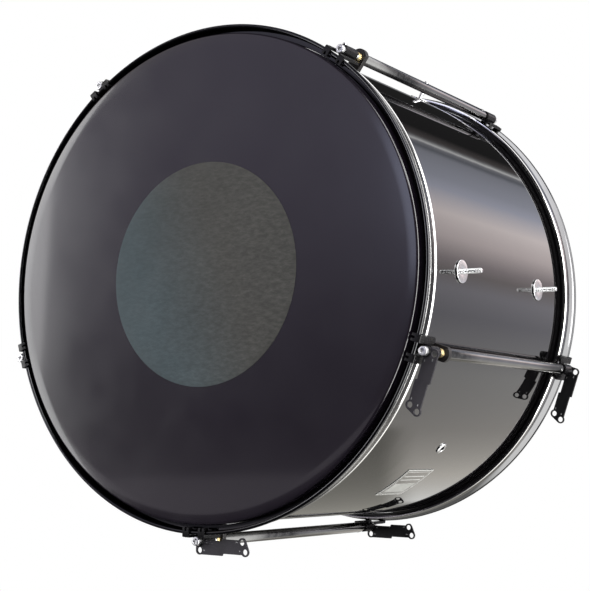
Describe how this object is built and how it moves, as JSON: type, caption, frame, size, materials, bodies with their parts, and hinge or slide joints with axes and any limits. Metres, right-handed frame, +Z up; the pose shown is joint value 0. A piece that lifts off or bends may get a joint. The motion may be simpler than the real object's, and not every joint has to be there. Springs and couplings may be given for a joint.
{
  "type": "marching bass drum",
  "caption": "Marching bass drum: a lacquered shell between tensioned heads, flared metal hoops, straight tension tubes with hooked yokes, and swivelling carrier plates for a harness.",
  "frame": {"origin": "centre of the drum, on its axis and halfway between the two hoop rims", "axes": "+Y along the drum's axis from the front head to the rear head, +Z up as it hangs on its harness, +X to the side with the studs"},
  "size_m": [0.5986, 0.3966, 0.6042],
  "materials": {
    "black_lacquer": "black mirror lacquer",
    "head_film": "smooth black film",
    "patch_film": "grained film patch",
    "blackened_ring": "blackened",
    "polished_hoop": "polished, with a dark plating",
    "black_steel": "fine black coat",
    "chrome_steel": "bright plating",
    "brass": "turned",
    "black_nylon": "moulded",
    "dark_tube": "dark satin anodised",
    "plain_plate": "gloss with a light frame line"
  },
  "bodies": {
    "drum": {"shell": "black_lacquer", "front_head": "head_film", "front_head_patch": "patch_film", "front_flesh_hoop": "blackened_ring", "front_hoop": "polished_hoop", "rear_head": "head_film", "rear_head_patch": "patch_film", "rear_flesh_hoop": "blackened_ring", "rear_hoop": "polished_hoop", "front_yoke_right": "black_steel", "tube_insert_right": "brass", "tube_flange_right": "black_nylon", "tension_tube_right": "dark_tube", "rear_yoke_right": "black_steel", "front_yoke_upper_right": "black_steel", "tube_insert_upper_right": "brass", "tube_flange_upper_right": "black_nylon", "tension_tube_upper_right": "dark_tube", "rear_yoke_upper_right": "black_steel", "front_yoke_upper_left": "black_steel", "tube_insert_upper_left": "brass", "tube_flange_upper_left": "black_nylon", "tension_tube_upper_left": "dark_tube", "rear_yoke_upper_left": "black_steel", "front_yoke_left": "black_steel", "tube_insert_left": "brass", "tube_flange_left": "black_nylon", "tension_tube_left": "dark_tube", "rear_yoke_left": "black_steel", "front_yoke_bottom": "black_steel", "tube_insert_bottom": "brass", "tube_flange_bottom": "black_nylon", "tension_tube_bottom": "dark_tube", "rear_yoke_bottom": "black_steel", "front_stud_right": "chrome_steel", "front_stud_washer_right": "chrome_steel", "rear_stud_right": "chrome_steel", "rear_stud_washer_right": "chrome_steel", "front_stud_upper": "chrome_steel", "front_stud_washer_upper": "chrome_steel", "rear_stud_upper": "chrome_steel", "rear_stud_washer_upper": "chrome_steel", "vent_eyelet": "chrome_steel", "name_plate": "plain_plate"},
    "front_bolt_right": {"front_bolt_right": "chrome_steel", "front_washer_right": "black_steel"},
    "front_carrier_plate_right": {"front_carrier_plate_right": "black_steel"},
    "rear_bolt_right": {"rear_bolt_right": "chrome_steel"},
    "rear_carrier_plate_right": {"rear_carrier_plate_right": "black_steel"},
    "front_bolt_upper_right": {"front_bolt_upper_right": "chrome_steel"},
    "rear_bolt_upper_right": {"rear_bolt_upper_right": "chrome_steel"},
    "front_bolt_upper_left": {"front_bolt_upper_left": "chrome_steel"},
    "rear_bolt_upper_left": {"rear_bolt_upper_left": "chrome_steel"},
    "front_bolt_left": {"front_bolt_left": "chrome_steel"},
    "rear_bolt_left": {"rear_bolt_left": "chrome_steel"},
    "front_bolt_bottom": {"front_bolt_bottom": "chrome_steel", "front_washer_bottom": "black_steel"},
    "front_carrier_plate_bottom": {"front_carrier_plate_bottom": "black_steel"},
    "rear_bolt_bottom": {"rear_bolt_bottom": "chrome_steel"},
    "rear_carrier_plate_bottom": {"rear_carrier_plate_bottom": "black_steel"}
  },
  "joints": [
    {"name": "front_bolt_right_turn", "type": "hinge", "parent": "drum", "child": "front_bolt_right", "pos_m": [0.28351, -0.19575, -0.09212], "axis": [0, 1, 0], "continuous": true},
    {"name": "front_carrier_plate_right_swivel", "type": "hinge", "parent": "drum", "child": "front_carrier_plate_right", "pos_m": [0.28351, -0.18555, -0.09212], "axis": [0, -1, 0], "range_deg": [-5, 70]},
    {"name": "rear_bolt_right_turn", "type": "hinge", "parent": "drum", "child": "rear_bolt_right", "pos_m": [0.28351, 0.19575, -0.09212], "axis": [0, -1, 0], "continuous": true},
    {"name": "rear_carrier_plate_right_swivel", "type": "hinge", "parent": "drum", "child": "rear_carrier_plate_right", "pos_m": [0.28351, 0.18745, -0.09212], "axis": [0, -1, 0], "range_deg": [-5, 70]},
    {"name": "front_bolt_upper_right_turn", "type": "hinge", "parent": "drum", "child": "front_bolt_upper_right", "pos_m": [0.17522, -0.19575, 0.24117], "axis": [0, 1, 0], "continuous": true},
    {"name": "rear_bolt_upper_right_turn", "type": "hinge", "parent": "drum", "child": "rear_bolt_upper_right", "pos_m": [0.17522, 0.19575, 0.24117], "axis": [0, -1, 0], "continuous": true},
    {"name": "front_bolt_upper_left_turn", "type": "hinge", "parent": "drum", "child": "front_bolt_upper_left", "pos_m": [-0.17522, -0.19575, 0.24117], "axis": [0, 1, 0], "continuous": true},
    {"name": "rear_bolt_upper_left_turn", "type": "hinge", "parent": "drum", "child": "rear_bolt_upper_left", "pos_m": [-0.17522, 0.19575, 0.24117], "axis": [0, -1, 0], "continuous": true},
    {"name": "front_bolt_left_turn", "type": "hinge", "parent": "drum", "child": "front_bolt_left", "pos_m": [-0.28351, -0.19575, -0.09212], "axis": [0, 1, 0], "continuous": true},
    {"name": "rear_bolt_left_turn", "type": "hinge", "parent": "drum", "child": "rear_bolt_left", "pos_m": [-0.28351, 0.19575, -0.09212], "axis": [0, -1, 0], "continuous": true},
    {"name": "front_bolt_bottom_turn", "type": "hinge", "parent": "drum", "child": "front_bolt_bottom", "pos_m": [0, -0.19575, -0.2981], "axis": [0, 1, 0], "continuous": true},
    {"name": "front_carrier_plate_bottom_swivel", "type": "hinge", "parent": "drum", "child": "front_carrier_plate_bottom", "pos_m": [0, -0.18555, -0.2981], "axis": [0, 1, 0], "range_deg": [-5, 70]},
    {"name": "rear_bolt_bottom_turn", "type": "hinge", "parent": "drum", "child": "rear_bolt_bottom", "pos_m": [0, 0.19575, -0.2981], "axis": [0, -1, 0], "continuous": true},
    {"name": "rear_carrier_plate_bottom_swivel", "type": "hinge", "parent": "drum", "child": "rear_carrier_plate_bottom", "pos_m": [0, 0.18745, -0.2981], "axis": [0, 1, 0], "range_deg": [-5, 70]}
  ]
}
